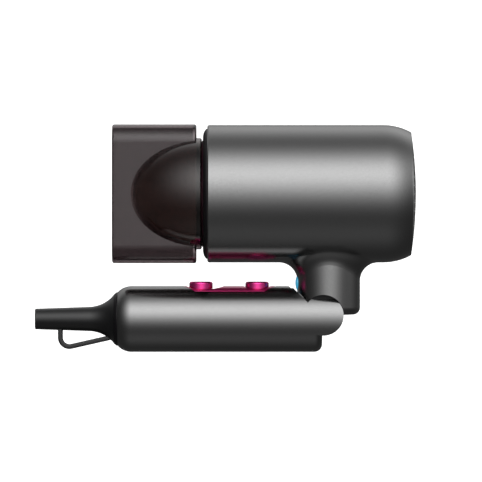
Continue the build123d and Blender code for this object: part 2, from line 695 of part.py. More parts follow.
def board_screws():
    made = []
    for x, y in BOARD_SCREWS:
        head = cyl_z(1.9, BOARD_Z1, BOARD_Z1 + 1.4, x, y)
        shank = cyl_z(1.05, BOARD_Z0 - 5, BOARD_Z1, x, y)
        slot = block(x - 1.4, x + 1.4, y - 0.25, y + 0.25, BOARD_Z1 + 0.9, BOARD_Z1 + 2)
        made.append(head + shank - slot)
    return made


def board_carrier():
    """The frame in the handle that the board is screwed to."""
    z1 = BOARD_Z0
    z0 = z1 - 6.5
    cradle = cyl_x(HANDLE_R - HANDLE_WALL - 0.1, -46.0, 33.0, HANDLE_AXIS_Z)
    cradle = cradle & block(-46.0, 33.0, -20, 20, z0, z1)
    cradle -= block(-37.0, 26.0, -11.0, 11.0, z0 - 1, z1 + 1)
    cradle -= block(-60, 60, -4.5, 4.5, z0 - 1, z1 + 1)
    for x, y in BOARD_SCREWS:
        cradle -= cyl_z(1.05, z0 - 1, z1 + 1, x, y)
    return cradle


def board_components():
    """The larger parts on the board: a capacitor, a relay, a heat sink and a choke."""
    z = BOARD_Z1
    capacitor = cyl_x(4.6, -38.0, -26.0, z + 4.6)
    relay = block(-22.0, -12.0, -8.5, -5.6, z, z + 6)
    heat_sink = block(0, 10, 3.0, 8.0, z, z + 1.2)
    fins = [block(0, 10, y, y + 0.8, z + 1.0, z + 5.6) for y in (3.2, 5.1, 7.0)]
    choke = Pos(5.5, -4.8, z + 2.2) * Torus(2.6, 1.3)
    return [capacitor, relay, united([heat_sink, *fins]), choke]


def slide_switch():
    z = BOARD_Z1
    x = SLIDER_X + SLIDER_TRAVEL / 2
    can = block(x - 8, x + 8, -3.6, 3.6, z, z + 5.2)
    can -= block(x - 5.2, x + 5.2, -1.6, 1.6, z + 3.6, z + 6)
    pins = [block(x + dx - 0.3, x + dx + 0.3, -3.9, -3.6, z, z + 1.6) for dx in (-5, 0, 5)]
    return united([can, *pins])


def switch_lever():
    """The slide switch's own lever, forked round the knob's stem."""
    z = BOARD_Z1
    foot = block(SLIDER_X - 2.6, SLIDER_X + 2.6, -1.5, 1.5, z + 3.7, z + 7.5)
    fork = block(SLIDER_X - 3.4, SLIDER_X + 3.4, -2.6, 2.6, z + 5.4, z + 9.4)
    return foot + fork - block(SLIDER_X - 2.25, SLIDER_X + 2.25, -1.45, 1.45, 29.5, 40)


def temp_switch():
    z = BOARD_Z1
    can = block(TEMP_X - 3, TEMP_X + 3, -3, 3, z, z + 1.5)
    seat = cyl_z(2.0, z + 1.5, z + 3.6, TEMP_X)
    plunger = cyl_z(1.2, z + 3.6, z + 4.5, TEMP_X)
    return united([can, seat, plunger])


# ---------------------------------------------------------------- cord end of the handle
def end_ring():
    z = HANDLE_AXIS_Z
    x1 = HANDLE_LEFT_X - 0.05
    edges = chain([(x1, 8.1), (x1, 14.7), (x1 - 0.5, 14.85), (x1 - 2.0, 13.7), (x1 - 2.0, 8.1)], z)
    edges += chain([(x1 - 2.0, 8.1), (x1, 8.1)], z)
    return spin(edges, z)


def cord_boot():
    """The rubber strain relief: a tapered sleeve that flares to the handle, with a moulded hanging loop."""
    z = HANDLE_AXIS_Z
    flange_x = HANDLE_LEFT_X - 2.1
    flare_mid = (BOOT_FLARE_X + 8.6, 8.95)
    end_x = BOOT_END_X
    edges = chain([(BOOT_TIP_X, 5.4), (BOOT_TIP_X, CORD_BORE_R), (end_x, CORD_BORE_R)], z)
    edges += chain([(end_x, CORD_BORE_R), (end_x, 10.5), (end_x - 2, 10.5), (end_x - 2, 7.9)], z)
    edges += chain([(end_x - 2, 7.9), (flange_x, 7.9), (flange_x, 13.5)], z)
    edges.append(arc((flange_x, 13.5), flare_mid, (BOOT_FLARE_X, 6.7), z))
    edges += chain([(BOOT_FLARE_X, 6.7), (BOOT_TIP_X + 0.3, 5.7), (BOOT_TIP_X, 5.4)], z)
    return spin(edges, z) + hanging_loop()


def hanging_loop():
    path = FilletPolyline(*[(x, 0, z) for x, z in (LOOP_TOP, LOOP_CORNER, LOOP_ROOT)], radius=5.0)
    section = Plane(origin=path @ 0, z_dir=path % 0, x_dir=(1, 0, 0))
    strap = section * RectangleRounded(LOOP_THICK, LOOP_WIDTH, 0.9)
    return sweep(strap, path=path) - cyl_x(CORD_BORE_R, -120, -50, HANDLE_AXIS_Z)


def cord_clamp():
    """The bridge inside the handle that grips the mains lead."""
    x0, x1 = -53.0, -47.5
    z = HANDLE_AXIS_Z
    bridge = block(x0, x1, -9.5, 9.5, z + 0.2, z + 2.2 + CORD_BORE_R)
    saddle = block(x0, x1, -9.5, 9.5, z - 8.0, z - 0.2)
    bore = cyl_x(CORD_BORE_R, x0 - 1, x1 + 1, z)
    pair = [bridge - bore, saddle - bore]
    for y in (-7.0, 7.0):
        hole = cyl_z(1.05, z - 9, z + 9, (x0 + x1) / 2, y)
        pair = [p - hole for p in pair]
    return pair


def clamp_screws():
    made = []
    z1 = HANDLE_AXIS_Z + 2.2 + CORD_BORE_R
    for y in (-7.0, 7.0):
        x = -50.25
        head = cyl_z(1.9, z1, z1 + 1.5, x, y)
        shank = cyl_z(1.04, z1 - 12, z1, x, y)
        slot = block(x - 1.4, x + 1.4, y - 0.25, y + 0.25, z1 + 0.9, z1 + 2)
        made.append(head + shank - slot)
    return made


# ---------------------------------------------------------------- nozzle
def stadium_prism(half_width, half_thick, x0, x1):
    straight = half_width - half_thick
    z = HEAD_AXIS_Z
    core = block(x0, x1, -half_thick, half_thick, z - straight, z + straight)
    ends = [cyl_x(half_thick, x0, x1, z + s * straight) for s in (-1, 1)]
    return united([core, *ends])


def nozzle_dome(shrink, back_x):
    """The round shoulder from the collar down into the flat box: half an egg, shrunk inwards."""
    z = HEAD_AXIS_Z
    length, radius = DOME_LENGTH - shrink, DOME_R - shrink
    steps = [0.09, 0.3, 0.5, 0.68, 0.82, 0.92, 0.975]
    points = [(DOME_CENTRE_X - t * length, radius * math.sqrt(1 - t * t)) for t in steps]
    edges = [Spline(*[(x, 0, z + r) for x, r in points])]
    tip, start = points[-1], points[0]
    edges += chain([tip, (tip[0], 0), (back_x, 0), (back_x, start[1]), start], z)
    return spin(edges, z)


def nozzle_body():
    box = stadium_prism(NOZZLE_HALF_WIDTH, NOZZLE_HALF_THICK, NOZZLE_FRONT_X, NOZZLE_BACK_X)
    rim = box.faces().sort_by(Axis.X)
    box = fillet([*rim[0].edges(), *rim[-1].edges()], 1.2)
    collar = cyl_x(COLLAR_R, NOZZLE_BACK_X - 0.5, COLLAR_END_X)
    last = collar.edges().filter_by(GeomType.CIRCLE).sort_by(Axis.X)[-1]
    collar = chamfer(last, 0.7)
    outer = united([box, nozzle_dome(0.0, NOZZLE_BACK_X + 0.5), collar])
    w = NOZZLE_WALL
    hollow = stadium_prism(
        NOZZLE_HALF_WIDTH - w, NOZZLE_HALF_THICK - w, NOZZLE_FRONT_X - 1, NOZZLE_BACK_X - w
    )
    outer -= hollow
    outer -= nozzle_dome(w, NOZZLE_BACK_X + 2)
    return outer - cyl_x(COLLAR_R - w, NOZZLE_BACK_X - 0.5, COLLAR_END_X + 1)


def coupling_ring():
    ring = tube_x(COLLAR_R - NOZZLE_WALL - 0.15, 25.6, NOZZLE_BACK_X + 0.15, COLLAR_END_X)
    for m in nozzle_magnets():
        ring -= m
    return ring


def nozzle_magnets():
    return ring_of(cyl_x(1.1, -15.0, COLLAR_END_X, HEAD_AXIS_Z + 27.0), 6, start=30)


# ---------------------------------------------------------------- leads
def lead(points, r, bend):
    path = FilletPolyline(*points, radius=bend)
    section = Plane(origin=path @ 0, z_dir=path % 0) * Circle(r)
    return sweep(section, path=path)


def head_leads():
    """Three insulated leads from the hinge block up the neck, along the outside of the air duct."""
    x = PIVOT_X + 5.9
    made = []
    for y in (-2.6, 0.0, 2.6):
        low, high = (x, y, PIVOT_Z + 3.0), (x, y, HEAD_AXIS_Z - 34.0)
        made.append(lead([low, high, (x - 22, y, HEAD_AXIS_Z - 34.0)], 1.0, 4.0))
    return made


def handle_leads():
    """The same three leads inside the handle, from under the board to the hinge."""
    made = []
    for y in (-2.6, 0.0, 2.6):
        z = PIVOT_Z - 5.8
        made.append(lead([(6, y, 11.0), (24, y, 11.0), (31, y, z), (41.6, y, z)], 1.0, 3.0))
    return made


def main():
    os.makedirs("parts", exist_ok=True)
    shell = handle_shell()
    save("barrel_shell", barrel_shell())
    save("front_bezel", front_bezel())
    save("front_magnets", *front_magnets())
    save("outlet_ring", outlet_ring())
    save("outlet_grille", outlet_grille())
    save("air_duct", air_duct())
    save("heat_shield", heat_shield())
    save("mica_frame", mica_frame())
    save("heating_coil", *heating_coil())
    save("thermal_cutout", thermal_cutout())
    save("ion_emitter", ion_emitter())
    save("motor_housing", motor_housing())
    save("motor_stator", motor_stator())
    save("stator_coils", *stator_coils())
    save("motor_bearings", *motor_bearings())
    save("motor_end_plate", motor_end_plate())
    save("motor_mount", motor_mount())
    save("motor_shaft", motor_shaft())
    save("rotor_magnet", rotor_magnet())
    save("impeller", impeller())
    save("intake_frame", intake_frame())
    save("rear_magnets", *rear_magnets())
    save("intake_screws", *intake_screws())
    save("rear_cover", rear_cover())
    save("filter_mesh", filter_mesh())
    save("cover_latch_ring", cover_latch_ring())
    save("hinge_block", hinge_block())
    save("hinge_screws", *hinge_screws())
    save("clamp_plate", clamp_plate())
    save("hinge_pin", hinge_pin())
    save("detent_ball", detent_ball())
    save("detent_spring", *detent_spring())
    save("cool_button", cool_button())
    save("cool_switch", cool_switch())
    save("handle_shell_left", handle_half(shell, 1))
    save("handle_shell_right", handle_half(shell, -1))
    save("hinge_bushes", *hinge_bushes())
    save("fascia_plate", fascia_plate())
    save("power_slider", power_slider())
    save("temp_button", temp_button())
    save("temp_spring", *temp_spring())
    save("control_board", control_board())
    save("board_screws", *board_screws())
    save("board_carrier", board_carrier())
    save("board_components", *board_components())
    save("slide_switch", slide_switch())
    save("switch_lever", switch_lever())
    save("temp_switch", temp_switch())
    save("end_ring", end_ring())
    save("cord_boot", cord_boot())
    save("cord_clamp", *cord_clamp())
    save("clamp_screws", *clamp_screws())
    save("nozzle_body", nozzle_body())
    save("coupling_ring", coupling_ring())
    save("nozzle_magnets", *nozzle_magnets())
    save("head_leads", *head_leads())
    save("handle_leads", *handle_leads())


main()
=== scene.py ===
# %% [markdown]
# # Folding hair dryer
#
# The dryer stands folded, with its handle under the head. The frame brings in every part that was
# drawn in CAD, already at its place and its real size. This lesson gives those parts their finishes,
# swaps the plain stand-ins (springs, gauze, windings, heating wire) for detailed ones, and lights the
# scene. The parts could be modelled here too, but CAD keeps their fits exact, so they are only dressed.

# %% Load the frame
import json
import math

import bpy
from mathutils import Matrix


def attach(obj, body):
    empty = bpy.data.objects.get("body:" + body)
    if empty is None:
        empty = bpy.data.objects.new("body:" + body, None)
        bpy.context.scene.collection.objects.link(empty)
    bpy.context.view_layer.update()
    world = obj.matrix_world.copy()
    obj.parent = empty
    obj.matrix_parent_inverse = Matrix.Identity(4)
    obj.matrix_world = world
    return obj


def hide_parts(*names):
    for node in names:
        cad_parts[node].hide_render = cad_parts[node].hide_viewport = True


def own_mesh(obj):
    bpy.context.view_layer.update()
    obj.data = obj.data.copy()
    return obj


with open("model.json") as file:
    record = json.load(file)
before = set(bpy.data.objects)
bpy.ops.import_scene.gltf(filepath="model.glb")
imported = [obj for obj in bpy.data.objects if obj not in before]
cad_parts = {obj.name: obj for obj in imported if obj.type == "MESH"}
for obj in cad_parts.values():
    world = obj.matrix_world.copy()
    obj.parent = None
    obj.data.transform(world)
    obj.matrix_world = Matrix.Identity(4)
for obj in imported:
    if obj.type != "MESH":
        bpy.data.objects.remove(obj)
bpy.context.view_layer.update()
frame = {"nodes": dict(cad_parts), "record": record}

MM = 0.001
NODES = frame["nodes"]
print("parts from the frame:", len(NODES))

# %% [markdown]
# ## Colours and nodes
#
# Blender works in linear light, but paint colours are easier to name as sRGB hex values, so one
# function turns hex into linear. Materials and shapes are node trees. A tree could be built with a
# function for each kind of node, but one small function that adds any node, sets it and links it is
# easier to learn: its calls read the same in every tree.

# %% Helpers for colours and nodes
def linear(hex_colour):
    """An sRGB hex value such as "7a7b7f" as linear red, green, blue and alpha."""
    values = [int(hex_colour[i : i + 2], 16) / 255 for i in (0, 2, 4)]
    lin = [v / 12.92 if v <= 0.04045 else ((v + 0.055) / 1.055) ** 2.4 for v in values]
    return (*lin, 1.0)


def add(tree, kind, values=None, **settings):
    """Adds a node with its settings. Each value is a number, or another node's socket to link."""
    node = tree.nodes.new(kind)
    for key, value in settings.items():
        setattr(node, key, value)
    for key, value in (values or {}).items():
        if isinstance(value, bpy.types.NodeSocket):
            tree.links.new(value, node.inputs[key])
        else:
            node.inputs[key].default_value = value
    return node


print("mid grey in linear light:", round(linear("808080")[0], 3))

# %% [markdown]
# ## What every finish has
#
# No real surface is quite even. Its colour, its gloss and its height all vary a little, each at a size
# of its own. Image textures could show that, but they need seams and a resolution. Noise on Object
# coordinates has neither, and its size is set in real millimetres. So one function makes a material
# with up to three clouds of noise: one for colour, one for roughness and one for relief. What doesn't
# vary goes straight on the shader's sockets as a number.

# %% A finish with clouds
def clouded(name, colour, rough=None, relief=None, ends=(0.0, 1.0), crumble=0.5, **surface):
    """A material with one Principled shader and clouds of noise.

    colour is (cloud, dark, light), rough is (cloud, low, high) and relief is (cloud, depth in mm).
    A cloud is (size in mm, detail), and the size may be three numbers for X, Y and Z.
    """
    material = bpy.data.materials.new(name)
    material.use_nodes = True
    tree = material.node_tree
    shader = tree.nodes["Principled BSDF"]
    for socket, value in surface.items():
        shader.inputs[socket.replace("_", " ")].default_value = value
    place = add(tree, "ShaderNodeTexCoord").outputs["Object"]
    clouds = {}
    for use, part in {"colour": colour, "rough": rough, "relief": relief}.items():
        if part:
            size, detail = part[0]
            sizes = size if isinstance(size, tuple) else (size, size, size)
            squeeze = [1 / (mm * MM) for mm in sizes]
            spot = add(tree, "ShaderNodeMapping", {"Vector": place, "Scale": squeeze}).outputs["Vector"]
            values = {"Vector": spot, "Scale": 1.0, "Detail": detail, "Roughness": crumble}
            clouds[use] = add(tree, "ShaderNodeTexNoise", values).outputs["Fac"]
    ramp = add(tree, "ShaderNodeValToRGB", {"Fac": clouds["colour"]})
    for stop, end, hex_colour in zip(ramp.color_ramp.elements, ends, colour[1:]):
        stop.position = end
        stop.color = linear(hex_colour)
    tree.links.new(ramp.outputs["Color"], shader.inputs["Base Color"])
    if rough:
        values = {"Value": clouds["rough"], "To Min": rough[1], "To Max": rough[2]}
        gloss = add(tree, "ShaderNodeMapRange", values).outputs["Result"]
        tree.links.new(gloss, shader.inputs["Roughness"])
    if relief:
        values = {"Height": clouds["relief"], "Strength": 1.0, "Distance": relief[1] * MM}
        tree.links.new(add(tree, "ShaderNodeBump", values).outputs["Normal"], shader.inputs["Normal"])
    print("made", name)
    return material


# %% [markdown]
# ## Painted head and handle
#
# The head and the handle are moulded ABS, sprayed with dark nickel-coloured metallic paint and a thin
# satin clear coat. The paint could be a plastic with a metal layer over it, but the flakes hide the
# plastic, so a metal with a satin roughness is enough. Real flakes are hundredths of a millimetre wide,
# too fine to show, so they are drawn a third of a millimetre wide. They make the brightness sparkle a
# little, the gloss drifts over 9 mm, and the clear coat has a very faint orange peel. To the eye it is a
# soft, broad band of light that never quite breaks up.

# %% Nickel metallic paint
PAINT = clouded(
    "sprayed dark nickel metallic paint, satin clear coat",
    ((0.35, 1.0), "7c7c7c", "888888"), ((9.0, 3.0), 0.21, 0.24), ((0.9, 1.0), 0.002),
    ends=(0.25, 0.75), Metallic=1.0,
)

# %% [markdown]
# ## Moulded black plastics
#
# The front bezel, the hinge core and the grille are satin black moulded ABS or nylon, the switches are
# polyester, and the motor's mount is silicone rubber. The moulds were spark-eroded, which leaves a fine,
# even grain of a tenth or two of a millimetre. That is too fine to show, so it is drawn at a third to a
# half of a millimetre. Modelled grain would take millions of faces, so it is relief in the material. The
# eye sees a dull black with a dusty highlight.

# %% Black plastics
def grained_plastic(name, dark, light, grain_mm, depth_mm, rough, gloss=0.5):
    """Spark-eroded plastic: the grain shows in the gloss as well as in the relief."""
    grain = (grain_mm, 1.5)
    return clouded(
        name, ((14.0, 4.0), dark, light), (grain, rough - 0.05, rough + 0.06), (grain, depth_mm),
        IOR=1.5, Specular_IOR_Level=gloss,
    )


BLACK = grained_plastic("satin black moulded ABS", "0f0e10", "151316", 0.35, 0.012, 0.42, gloss=0.22)
NYLON = grained_plastic("dark glass-filled nylon", "1b1b1d", "27272a", 0.5, 0.02, 0.5)
SWITCH = grained_plastic("black switch-grade polyester", "121213", "1c1c1e", 0.4, 0.01, 0.42)
SILICONE = grained_plastic("black silicone rubber, moulded", "141415", "202022", 0.6, 0.01, 0.6)

# %% [markdown]
# ## Boot rubber
#
# The strain relief is injection-moulded PVC rubber. It is softer than the plastics, so its mould is
# polished smoother, and plasticiser blooms on it in patches of a few millimetres. The grained plastic
# could serve here, but it would look too dusty. This one is nearly black with a broad, greasy highlight.
# Its grain, like the others, is drawn coarser than it is, at a quarter of a millimetre.

# %% Boot rubber
FINE_GRAIN = (0.25, 2.0)
RUBBER = clouded(
    "satin black PVC rubber, moulded",
    ((6.0, 5.0), "0f0f10", "161617"), (FINE_GRAIN, 0.3, 0.38), (FINE_GRAIN, 0.008), IOR=1.52,
)

# %% [markdown]
# ## Pink and magenta lacquer
#
# The two controls are pink and the inset plate is magenta, both in bright lacquer over a silver base.
# A gloss plastic was one way to make them, but its highlights are white, and these are pink, because
# the light goes through the colour to the silver and back. So they are coloured metal under a thin
# clear coat, with the silver's flakes drawn as coarse as the paint's. The eye sees a candy colour that is
# bright at the light and deep beside it.

# %% Metallic lacquers
def metallic_lacquer(name, dark, light, rough, metal, coat):
    """Bright lacquer over a silver base coat: it reflects like metal, in its own colour."""
    return clouded(
        name, ((0.3, 1.0), dark, light), ((2.5, 3.0), rough - 0.02, rough + 0.03), ((1.6, 1.0), 0.0015),
        Metallic=metal, Coat_Weight=coat, Coat_Roughness=0.08,
    )


PINK = metallic_lacquer("metallic pink lacquer", "e93390", "f946a0", 0.2, metal=0.9, coat=0.4)
MAGENTA = metallic_lacquer("metallic magenta lacquer", "ce1e70", "d82c7c", 0.28, metal=0.8, coat=0.6)

# %% [markdown]
# ## Gloss plum ring and green board
#
# The ring in the outlet is plum lacquer, and the circuit board is glass-fibre resin under green solder
# mask. A little light enters such a layer and comes out again close by. Plain colour would look like
# card, so both have subsurface scattering with a radius of a tenth or two of a millimetre. The eye
# sees a wet gloss over a colour with some depth.

# %% Gloss coloured layers
def gloss_layer(name, dark, light, rough, scatter_mm, coat=0.3):
    """A glossy layer that scatters red light a little farther than green and blue."""
    return clouded(
        name, ((7.0, 3.0), dark, light), ((2.5, 3.0), rough - 0.03, rough + 0.04), ((1.6, 1.0), 0.002),
        IOR=1.49, Coat_Weight=coat, Coat_Roughness=0.06, Subsurface_Weight=0.25,
        Subsurface_Radius=(1.0, 0.6, 0.6), Subsurface_Scale=scatter_mm * MM,
    )


PLUM = gloss_layer("dark plum lacquer", "3c1a2b", "45202f", 0.3, 0.2)
BOARD = gloss_layer("green solder-masked board", "114a2a", "185a34", 0.35, 0.1, coat=0.1)

# %% [markdown]
# ## Cyan lens
#
# The round cool-shot button on the neck is translucent cyan polycarbonate. It could be clear plastic with
# a lamp behind it, but so small a lamp makes noise in the picture. Strong scattering over 2 mm and a
# faint glow of its own do the same: the eye sees a small disc that is lit from inside.

# %% Translucent cyan lens
MILKY = (2.0, 2.0)
CYAN = clouded(
    "translucent cyan polycarbonate",
    (MILKY, "1f7f8e", "2a93a2"), (MILKY, 0.12, 0.18),
    IOR=1.58, Coat_Weight=0.5, Coat_Roughness=0.05, Subsurface_Weight=0.7,
    Subsurface_Radius=(0.4, 1.0, 1.0), Subsurface_Scale=2.0 * MM,
    Emission_Color=linear("4abdf0"), Emission_Strength=0.5,
)

# %% [markdown]
# ## Smoked clear nozzle
#
# The nozzle is a clear part with dark dye in it. A volume inside the wall would be the exact way, but it
# is slow, and the walls are all 1.8 mm thick, so the colour goes on the transmission. The round shoulder
# reads darker than the flat sides, and that darkening is painted shade: a darker tint in its colour. The
# shoulder is the only part of the nozzle more than about 10 mm from the middle plane, so the distance from
# that plane picks where the painted shade goes. The moulding is polished, with slight haze, so what is
# behind it shows a little soft.

# %% Smoked clear polycarbonate, with painted shade on the shoulder
SHOULDER_SHADE_START = 9.8 * MM
SHOULDER_SHADE_FULL = 11.0 * MM
SMOKE_AND_SHADE = clouded(
    "smoked clear polycarbonate, polished mould",
    ((18.0, 2.0), "665b5d", "695e60"), ((3.0, 3.0), 0.06, 0.09), ((4.0, 1.0), 0.004),
    IOR=1.5, Transmission_Weight=1.0,
)


def paint_shoulder_shade(material, tint):
    """Paints shade on the shoulder: blends the colour to a darker one with distance from the middle plane,
    Y = 0.
    """
    tree = material.node_tree
    colour_in = tree.nodes["Principled BSDF"].inputs["Base Color"]
    side_colour = colour_in.links[0].from_socket
    place = add(tree, "ShaderNodeTexCoord").outputs["Object"]
    across = add(tree, "ShaderNodeSeparateXYZ", {"Vector": place}).outputs["Y"]
    away = add(tree, "ShaderNodeMath", {0: across}, operation="ABSOLUTE").outputs[0]
    values = {"Value": away, "From Min": SHOULDER_SHADE_START, "From Max": SHOULDER_SHADE_FULL}
    share = add(tree, "ShaderNodeMapRange", values).outputs["Result"]
    values = {0: share, 6: side_colour, 7: linear(tint)}
    mixed = add(tree, "ShaderNodeMix", values, data_type="RGBA").outputs[2]
    tree.links.new(mixed, colour_in)


# The darker shoulder colour is painted shade, not dye.
paint_shoulder_shade(SMOKE_AND_SHADE, "584845")
print("shoulder tint from", SHOULDER_SHADE_START, "to", SHOULDER_SHADE_FULL)

# %% [markdown]
# ## Metals inside
#
# Inside are turned steel, nickel-plated magnets, brass bushes, a machined aluminium fan, copper windings
# and nichrome wire. An anisotropic shader could bend their highlights, but it needs tangents on every
# part. Turned and drawn metal has lines a few hundredths of a millimetre apart, so the cloud is stretched
# to 4 mm by 0.12 mm instead, which is as fine as can show. The lines all run along the dryer, which is
# simpler than round each part. The eye sees a highlight with streaks. Metals keep the shader's own IOR.

# %% Worked metals
def worked_metal(name, dark, light, rough):
    """Metal with fine lines along X that show in its colour, its gloss and its relief."""
    lines = ((4.0, 0.12, 0.12), 2.0)
    return clouded(
        name, (lines, dark, light), (lines, rough - 0.06, rough + 0.08), (lines, 0.004), Metallic=1.0
    )


STEEL = worked_metal("drawn stainless steel", "a3a3a5", "b9b9bb", 0.28)
MAGNET = worked_metal("nickel-plated magnet", "b0aea8", "c4c2bc", 0.2)
BRASS = worked_metal("turned brass", "b5904a", "c9a45c", 0.26)
COPPER = worked_metal("enamelled copper wire", "a85a34", "bd6c40", 0.3)
FAN_METAL = worked_metal("machined aluminium", "b8babc", "cccdd0", 0.25)
NICHROME = worked_metal("heat-tinted nichrome", "6f655c", "8b8076", 0.42)

# %% [markdown]
# ## Mica and wire sleeves
#
# The heater's cross is pressed mica: flakes of a millimetre or two in a binder, some of them shiny. The
# leads have grey silicone sleeves. Flakes could be scattered as geometry, but noise with much fine detail
# gives the same broken shine on a sheet that is seen only through the grille.

# %% Mica and sleeves
LAYERS = (1.8, 6.0)
MICA = clouded(
    "pressed mica sheet",
    (LAYERS, "9c8f76", "cbbfa4"), (LAYERS, 0.25, 0.5), (LAYERS, 0.03), crumble=0.7, IOR=1.58,
)
SLEEVE = grained_plastic("grey silicone wire sleeve", "b4b3ae", "c6c5c0", 0.5, 0.01, 0.55)

# %% [markdown]
# ## Dress the CAD parts
#
# Every part that keeps its CAD shape gets one of the finishes above. The frame's record says which
# material each part is made of, so a table from those names to finishes dresses them all in one loop.

# %% Put the finishes on
FINISHES = {
    "nickel_paint": PAINT,
    "black_satin": BLACK,
    "plum_anodised": PLUM,
    "dark_nylon": NYLON,
    "mica": MICA,
    "nichrome": NICHROME,
    "steel": STEEL,
    "copper": COPPER,
    "soft_rubber": SILICONE,
    "magnet": MAGNET,
    "aluminium_fan": FAN_METAL,
    "steel_gauze": STEEL,
    "switch_plastic": SWITCH,
    "lead_sleeve": SLEEVE,
    "cyan_lens": CYAN,
    "brass_bush": BRASS,
    "magenta_gloss": MAGENTA,
    "board_green": BOARD,
    "boot_rubber": RUBBER,
    "pink_button": PINK,
    "smoky_clear": SMOKE_AND_SHADE,
}
SLOT_OF = {part["node"]: part["material_slot"] for part in frame["record"]["subparts"]}
for node, part in NODES.items():
    part.data.materials.clear()
    part.data.materials.append(FINISHES[SLOT_OF[node]])
print("finishes on", len(NODES), "parts")

# %% [markdown]
# ## Wire parts, grown with Geometry Nodes
#
# Four kinds of wire part are too fine for the CAD, which has plain stand-ins for them: the heating
# wire, the springs, the motor's windings and the gauze. Each could be modelled turn by turn, or swept
# along a curve by hand. A node tree does it from a few named numbers, so the turns can be recounted
# later. Each tree runs once on an empty mesh, and what it makes is kept as a plain mesh.

# %% Helpers for trees that grow wire
MATHS = "ShaderNodeMath"
VECTOR = "ShaderNodeCombineXYZ"


def wire_tree(name, numbers):
    """A node tree with one input for each named number and one for the material."""
    tree = bpy.data.node_groups.new(name, "GeometryNodeTree")
    for label, value in numbers.items():
        kind = "NodeSocketInt" if isinstance(value, int) else "NodeSocketFloat"
        tree.interface.new_socket(label, in_out="INPUT", socket_type=kind).default_value = value
    tree.interface.new_socket("Material", in_out="INPUT", socket_type="NodeSocketMaterial")
    tree.interface.new_socket("Geometry", in_out="OUTPUT", socket_type="NodeSocketGeometry")
    return tree, add(tree, "NodeGroupInput").outputs


def drawn(tree, curve, radius, sides):
    """A round wire along a curve, smooth shaded."""
    circle = add(tree, "GeometryNodeCurvePrimitiveCircle", {"Radius": radius, "Resolution": sides})
    values = {"Curve": curve, "Profile Curve": circle.outputs["Curve"], "Fill Caps": True}
    wire = add(tree, "GeometryNodeCurveToMesh", values).outputs[0]
    return add(tree, "GeometryNodeSetShadeSmooth", {"Geometry": wire}).outputs[0]


def end_tree(tree, shape, material):
    """Every tree ends with real geometry and its material."""
    real = add(tree, "GeometryNodeRealizeInstances", {"Geometry": shape}).outputs[0]
    dressed = add(tree, "GeometryNodeSetMaterial", {"Geometry": real, "Material": material}).outputs[0]
    add(tree, "NodeGroupOutput", {"Geometry": dressed})


def grow(name, tree, material, place, numbers):
    """Runs a tree with these numbers, keeps the plain mesh and moves its vertices into place."""
    piece = bpy.data.objects.new(name, bpy.data.meshes.new(name))
    bpy.context.scene.collection.objects.link(piece)
    modifier = piece.modifiers.new("grow", "NODES")
    modifier.node_group = tree
    for item in tree.interface.items_tree:
        if item.in_out == "INPUT":
            modifier[item.identifier] = material if item.name == "Material" else numbers[item.name]
    ready = piece.evaluated_get(bpy.context.evaluated_depsgraph_get())
    mesh = bpy.data.meshes.new_from_object(ready)
    mesh.transform(place)
    piece.modifiers.clear()
    piece.data = mesh
    print(name, "has", len(mesh.vertices), "vertices")
    return piece


# %% [markdown]
# ## Coiled wire
#
# A heating element is fine resistance wire, wound into a long thin spring, and that spring is wound
# round a cross of mica. Two spirals could be joined by hand, but one formula bends a straight line into
# both: every point's share of the way along gives its angle round the big helix and its angle round the
# small one. With a small helix of no width it is an ordinary spring, so one tree makes all three.

# %% Sizes of the heating wire, in metres
HEATER = {
    "Turns": 8.0, "Pitch": 3.6 * MM, "Ring Radius": 20.8 * MM, "Coil Radius": 0.47 * MM,
    "Coils Per Turn": 93.0, "Wire Radius": 0.18 * MM, "Points": 6700,
}
print("heating wire takes", HEATER["Turns"] * HEATER["Coils Per Turn"], "small coils")


# %% Tree for coiled wire
def coiled_wire():
    tree, given = wire_tree("coiled wire", HEATER)
    line = add(tree, "GeometryNodeCurvePrimitiveLine").outputs["Curve"]
    fine = add(tree, "GeometryNodeResampleCurve", {"Curve": line, "Count": given["Points"]}).outputs[0]
    index = add(tree, "GeometryNodeInputIndex").outputs[0]
    last = add(tree, MATHS, {0: given["Points"], 1: 1.0}, operation="SUBTRACT").outputs[0]
    share = add(tree, MATHS, {0: index, 1: last}, operation="DIVIDE").outputs[0]
    turns = add(tree, MATHS, {0: share, 1: given["Turns"]}, operation="MULTIPLY").outputs[0]
    angle = add(tree, MATHS, {0: turns, 1: 2 * math.pi}, operation="MULTIPLY").outputs[0]
    values = {0: angle, 1: given["Coils Per Turn"]}
    small_angle = add(tree, MATHS, values, operation="MULTIPLY").outputs[0]
    small_cos = add(tree, MATHS, {0: small_angle}, operation="COSINE").outputs[0]
    small_sin = add(tree, MATHS, {0: small_angle}, operation="SINE").outputs[0]
    coil = given["Coil Radius"]
    outwards = add(tree, MATHS, {0: small_cos, 1: coil}, operation="MULTIPLY").outputs[0]
    sideways = add(tree, MATHS, {0: small_sin, 1: coil}, operation="MULTIPLY").outputs[0]
    radius = add(tree, MATHS, {0: given["Ring Radius"], 1: outwards}, operation="ADD").outputs[0]
    cos = add(tree, MATHS, {0: angle}, operation="COSINE").outputs[0]
    sin = add(tree, MATHS, {0: angle}, operation="SINE").outputs[0]
    values = {0: turns, 1: given["Pitch"], 2: sideways}
    x = add(tree, MATHS, values, operation="MULTIPLY_ADD").outputs[0]
    y = add(tree, MATHS, {0: radius, 1: cos}, operation="MULTIPLY").outputs[0]
    z = add(tree, MATHS, {0: radius, 1: sin}, operation="MULTIPLY").outputs[0]
    spot = add(tree, VECTOR, {"X": x, "Y": y, "Z": z}).outputs[0]
    bent = add(tree, "GeometryNodeSetPosition", {"Geometry": fine, "Position": spot}).outputs[0]
    end_tree(tree, drawn(tree, bent, given["Wire Radius"], 5), given["Material"])
    return tree


COILED_WIRE = coiled_wire()
print("nodes in the coiled wire tree:", len(COILED_WIRE.nodes))

